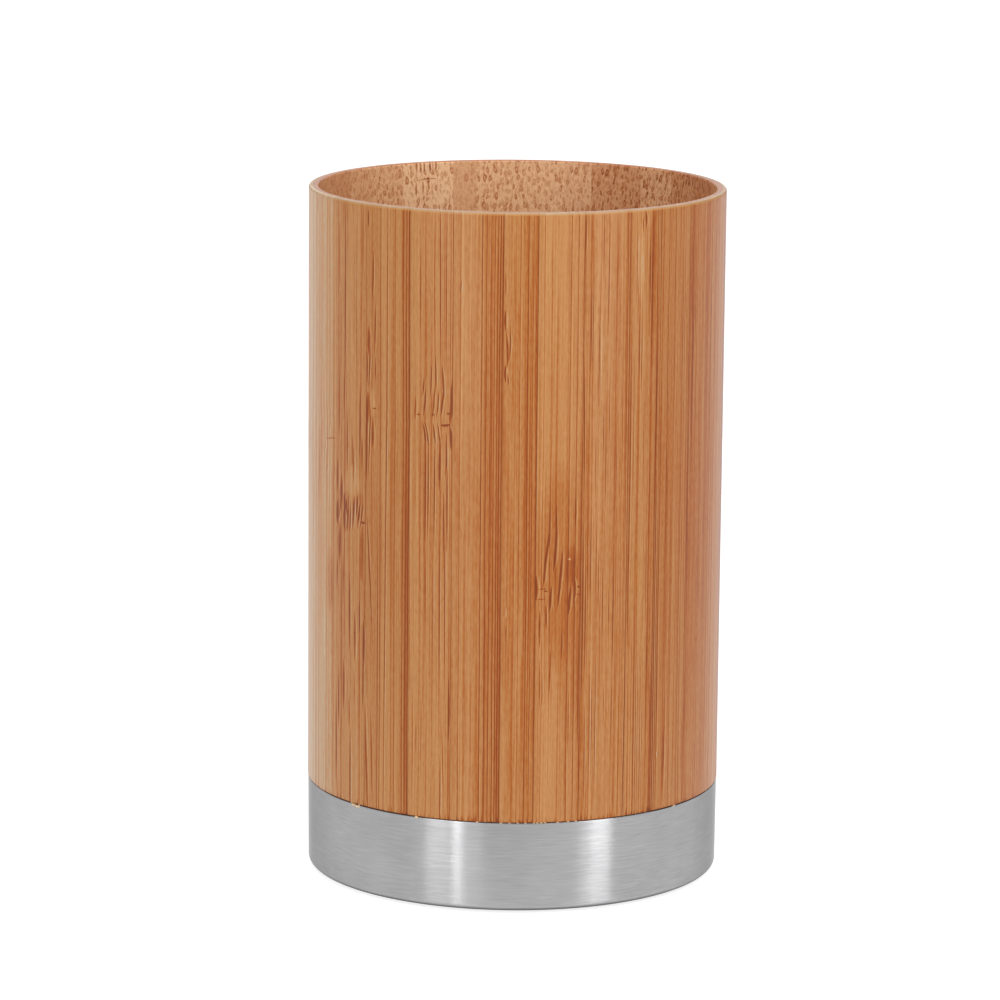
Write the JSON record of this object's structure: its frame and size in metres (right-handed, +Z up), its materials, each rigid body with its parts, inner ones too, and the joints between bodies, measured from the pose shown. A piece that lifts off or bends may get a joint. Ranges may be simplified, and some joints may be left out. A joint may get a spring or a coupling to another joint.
{
  "type": "toothbrush holder",
  "caption": "Round open-topped toothbrush tumbler: a thin wall of upright bamboo strips over a bamboo sleeve, glued into a drawn brushed-steel base cup that stands on a foam pad.",
  "frame": {"origin": "centre of the foam pad's underside, on the surface that the tumbler stands on", "axes": "+Z up along the tumbler's axis, -Y towards the side that the picture shows"},
  "size_m": [0.066, 0.066, 0.11],
  "materials": {
    "bamboo_strip": "carbonised bamboo under satin lacquer",
    "bamboo_lining": "bamboo veneer under satin lacquer",
    "bamboo_board": "bamboo board under satin lacquer",
    "steel": "brushed round the wall",
    "foam": "fine closed-cell foam"
  },
  "bodies": {
    "root": {"inner_sleeve": "bamboo_lining", "base_cup": "steel", "floor_board": "bamboo_board", "foot_pad": "foam", "outer_strip_01": "bamboo_strip", "outer_strip_02": "bamboo_strip", "outer_strip_03": "bamboo_strip", "outer_strip_04": "bamboo_strip", "outer_strip_05": "bamboo_strip", "outer_strip_06": "bamboo_strip", "outer_strip_07": "bamboo_strip", "outer_strip_08": "bamboo_strip", "outer_strip_09": "bamboo_strip", "outer_strip_10": "bamboo_strip", "outer_strip_11": "bamboo_strip", "outer_strip_12": "bamboo_strip", "outer_strip_13": "bamboo_strip", "outer_strip_14": "bamboo_strip", "outer_strip_15": "bamboo_strip", "outer_strip_16": "bamboo_strip", "outer_strip_17": "bamboo_strip", "outer_strip_18": "bamboo_strip", "outer_strip_19": "bamboo_strip", "outer_strip_20": "bamboo_strip", "outer_strip_21": "bamboo_strip", "outer_strip_22": "bamboo_strip", "outer_strip_23": "bamboo_strip", "outer_strip_24": "bamboo_strip", "outer_strip_25": "bamboo_strip", "outer_strip_26": "bamboo_strip", "outer_strip_27": "bamboo_strip", "outer_strip_28": "bamboo_strip"}
  },
  "joints": []
}
